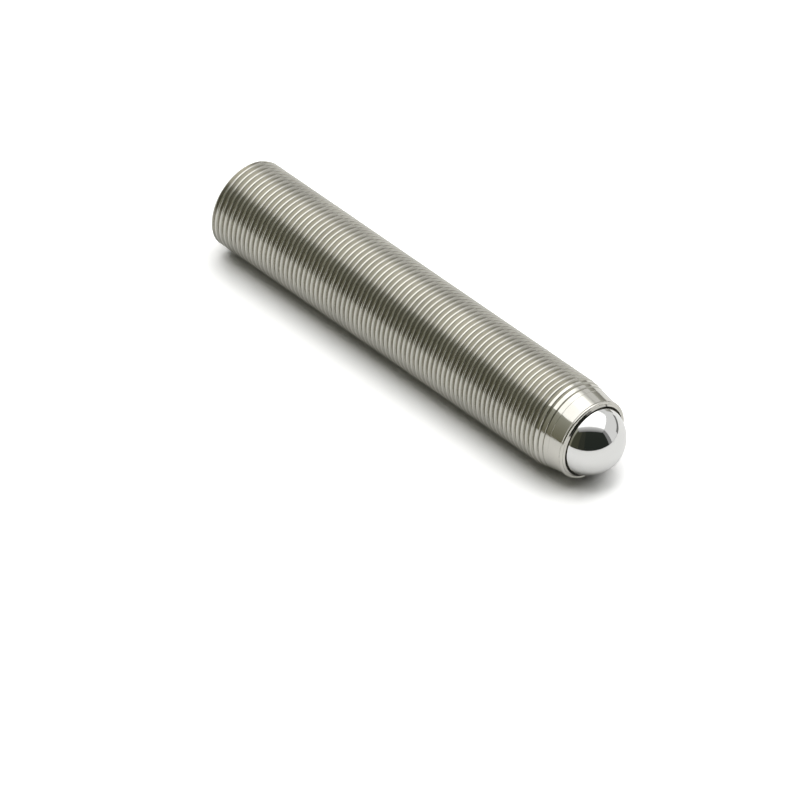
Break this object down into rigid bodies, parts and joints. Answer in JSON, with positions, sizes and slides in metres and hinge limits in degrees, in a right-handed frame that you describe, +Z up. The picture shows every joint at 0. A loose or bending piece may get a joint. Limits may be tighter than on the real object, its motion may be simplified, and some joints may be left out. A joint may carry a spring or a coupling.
{
  "type": "ball-end adjusting screw",
  "caption": "Headless fine-pitch adjusting screw with a hexagon socket in its rear face and a bearing ball held in its tapered nose.",
  "frame": {"origin": "centre of the rear face, on the screw's axis; the screw lies on its thread's crests, half a major diameter below", "axes": "+X along the screw's axis from the rear face to the ball, +Z up"},
  "size_m": [0.026, 0.0046, 0.0046],
  "materials": {
    "screw_steel": "fine-turned stainless steel",
    "ball_steel": "polished bearing steel"
  },
  "bodies": {
    "screw": {"screw_body": "screw_steel"},
    "ball": {"ball": "ball_steel"}
  },
  "joints": [
    {"name": "ball_spin", "type": "hinge", "parent": "screw", "child": "ball", "pos_m": [0.02417, 0, 0], "axis": [1, 0, 0], "continuous": true}
  ]
}
